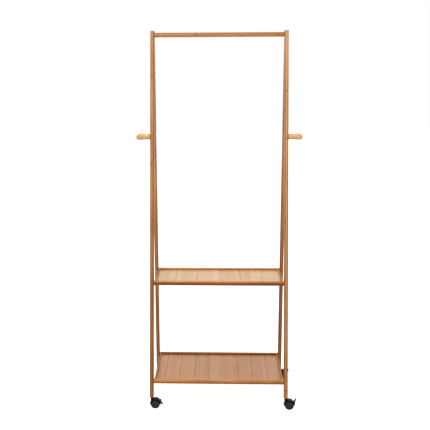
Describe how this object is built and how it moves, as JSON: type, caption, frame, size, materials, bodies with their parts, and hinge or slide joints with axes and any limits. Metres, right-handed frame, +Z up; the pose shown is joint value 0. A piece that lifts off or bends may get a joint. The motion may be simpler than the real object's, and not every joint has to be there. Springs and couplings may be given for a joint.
{
  "type": "rolling clothes rack",
  "caption": "A-frame bamboo clothes rack with a round hanging rail, two slatted shelves, side pegs and braked twin-wheel swivel casters.",
  "frame": {"origin": "on the floor, under the centre of the rack's footprint", "axes": "+X to the right side, +Y to the back, +Z up; the casters trail towards +X"},
  "size_m": [0.724, 0.451, 1.633],
  "materials": {
    "bamboo_frame": "satin-lacquered carbonised bamboo in three glued strips",
    "bamboo_rail": "satin-lacquered carbonised bamboo, slightly darker",
    "bamboo_pale": "pale bamboo boards with a thin satin lacquer",
    "bamboo_tan": "tan bamboo boards with a thin satin lacquer",
    "light_wood": "turned light wood, smooth satin",
    "caster_plastic": "black moulded plastic, fine satin grain",
    "caster_wheel": "black moulded wheel with a dark grey hub",
    "brake_plastic": "black moulded plastic with grip ribs",
    "black_steel": "black oxide steel",
    "steel": "zinc-plated steel",
    "brass": "plain brass"
  },
  "bodies": {
    "rack": {"front_left_leg": "bamboo_frame", "front_right_leg": "bamboo_frame", "rear_left_leg": "bamboo_frame", "rear_right_leg": "bamboo_frame", "hanging_rail": "bamboo_frame", "left_peg": "light_wood", "right_peg": "light_wood", "mid_front_rail": "bamboo_rail", "mid_rear_rail": "bamboo_rail", "mid_left_rail": "bamboo_rail", "mid_right_rail": "bamboo_rail", "lower_front_rail": "bamboo_rail", "lower_rear_rail": "bamboo_rail", "lower_left_rail": "bamboo_rail", "lower_right_rail": "bamboo_rail", "mid_slat_1": "bamboo_pale", "mid_slat_2": "bamboo_pale", "mid_slat_3": "bamboo_pale", "mid_slat_4": "bamboo_pale", "mid_slat_5": "bamboo_pale", "mid_slat_6": "bamboo_pale", "lower_slat_1": "bamboo_tan", "lower_slat_2": "bamboo_tan", "lower_slat_3": "bamboo_tan", "lower_slat_4": "bamboo_tan", "lower_slat_5": "bamboo_tan", "lower_slat_6": "bamboo_tan", "lower_slat_7": "bamboo_tan", "lower_slat_8": "bamboo_tan", "lower_slat_9": "bamboo_tan", "frame_bolts": "black_steel", "barrel_nuts": "steel", "apex_dowels": "light_wood", "peg_screws": "steel", "leg_inserts": "brass", "caster_stems": "steel"},
    "front_left_caster": {"front_left_housing": "caster_plastic", "front_left_axle": "black_steel"},
    "front_left_front_wheel": {"front_left_front_wheel": "caster_wheel"},
    "front_left_back_wheel": {"front_left_back_wheel": "caster_wheel"},
    "front_left_brake_lever": {"front_left_brake_lever": "brake_plastic"},
    "front_right_caster": {"front_right_housing": "caster_plastic", "front_right_axle": "black_steel"},
    "front_right_front_wheel": {"front_right_front_wheel": "caster_wheel"},
    "front_right_back_wheel": {"front_right_back_wheel": "caster_wheel"},
    "front_right_brake_lever": {"front_right_brake_lever": "brake_plastic"},
    "rear_left_caster": {"rear_left_housing": "caster_plastic", "rear_left_axle": "black_steel"},
    "rear_left_front_wheel": {"rear_left_front_wheel": "caster_wheel"},
    "rear_left_back_wheel": {"rear_left_back_wheel": "caster_wheel"},
    "rear_left_brake_lever": {"rear_left_brake_lever": "brake_plastic"},
    "rear_right_caster": {"rear_right_housing": "caster_plastic", "rear_right_axle": "black_steel"},
    "rear_right_front_wheel": {"rear_right_front_wheel": "caster_wheel"},
    "rear_right_back_wheel": {"rear_right_back_wheel": "caster_wheel"},
    "rear_right_brake_lever": {"rear_right_brake_lever": "brake_plastic"}
  },
  "joints": [
    {"name": "front_left_swivel", "type": "hinge", "parent": "rack", "child": "front_left_caster", "pos_m": [-0.2915, -0.211, 0.045], "axis": [0, 0, 1], "continuous": true},
    {"name": "front_left_front_wheel_roll", "type": "hinge", "parent": "front_left_caster", "child": "front_left_front_wheel", "pos_m": [-0.276, -0.211, 0.02], "axis": [0, 1, 0], "continuous": true},
    {"name": "front_left_back_wheel_roll", "type": "hinge", "parent": "front_left_caster", "child": "front_left_back_wheel", "pos_m": [-0.276, -0.211, 0.02], "axis": [0, 1, 0], "continuous": true},
    {"name": "front_left_brake", "type": "hinge", "parent": "front_left_caster", "child": "front_left_brake_lever", "pos_m": [-0.25425, -0.211, 0.03061], "axis": [0, -1, 0], "range_deg": [0, 121]},
    {"name": "front_right_swivel", "type": "hinge", "parent": "rack", "child": "front_right_caster", "pos_m": [0.2915, -0.211, 0.045], "axis": [0, 0, 1], "continuous": true},
    {"name": "front_right_front_wheel_roll", "type": "hinge", "parent": "front_right_caster", "child": "front_right_front_wheel", "pos_m": [0.307, -0.211, 0.02], "axis": [0, 1, 0], "continuous": true},
    {"name": "front_right_back_wheel_roll", "type": "hinge", "parent": "front_right_caster", "child": "front_right_back_wheel", "pos_m": [0.307, -0.211, 0.02], "axis": [0, 1, 0], "continuous": true},
    {"name": "front_right_brake", "type": "hinge", "parent": "front_right_caster", "child": "front_right_brake_lever", "pos_m": [0.32875, -0.211, 0.03061], "axis": [0, -1, 0], "range_deg": [-121, 0]},
    {"name": "rear_left_swivel", "type": "hinge", "parent": "rack", "child": "rear_left_caster", "pos_m": [-0.2915, 0.211, 0.045], "axis": [0, 0, 1], "continuous": true},
    {"name": "rear_left_front_wheel_roll", "type": "hinge", "parent": "rear_left_caster", "child": "rear_left_front_wheel", "pos_m": [-0.276, 0.211, 0.02], "axis": [0, 1, 0], "continuous": true},
    {"name": "rear_left_back_wheel_roll", "type": "hinge", "parent": "rear_left_caster", "child": "rear_left_back_wheel", "pos_m": [-0.276, 0.211, 0.02], "axis": [0, 1, 0], "continuous": true},
    {"name": "rear_left_brake", "type": "hinge", "parent": "rear_left_caster", "child": "rear_left_brake_lever", "pos_m": [-0.25425, 0.211, 0.03061], "axis": [0, -1, 0], "range_deg": [-121, 0]},
    {"name": "rear_right_swivel", "type": "hinge", "parent": "rack", "child": "rear_right_caster", "pos_m": [0.2915, 0.211, 0.045], "axis": [0, 0, 1], "continuous": true},
    {"name": "rear_right_front_wheel_roll", "type": "hinge", "parent": "rear_right_caster", "child": "rear_right_front_wheel", "pos_m": [0.307, 0.211, 0.02], "axis": [0, 1, 0], "continuous": true},
    {"name": "rear_right_back_wheel_roll", "type": "hinge", "parent": "rear_right_caster", "child": "rear_right_back_wheel", "pos_m": [0.307, 0.211, 0.02], "axis": [0, 1, 0], "continuous": true},
    {"name": "rear_right_brake", "type": "hinge", "parent": "rear_right_caster", "child": "rear_right_brake_lever", "pos_m": [0.32875, 0.211, 0.03061], "axis": [0, -1, 0], "range_deg": [-121, 0]}
  ]
}
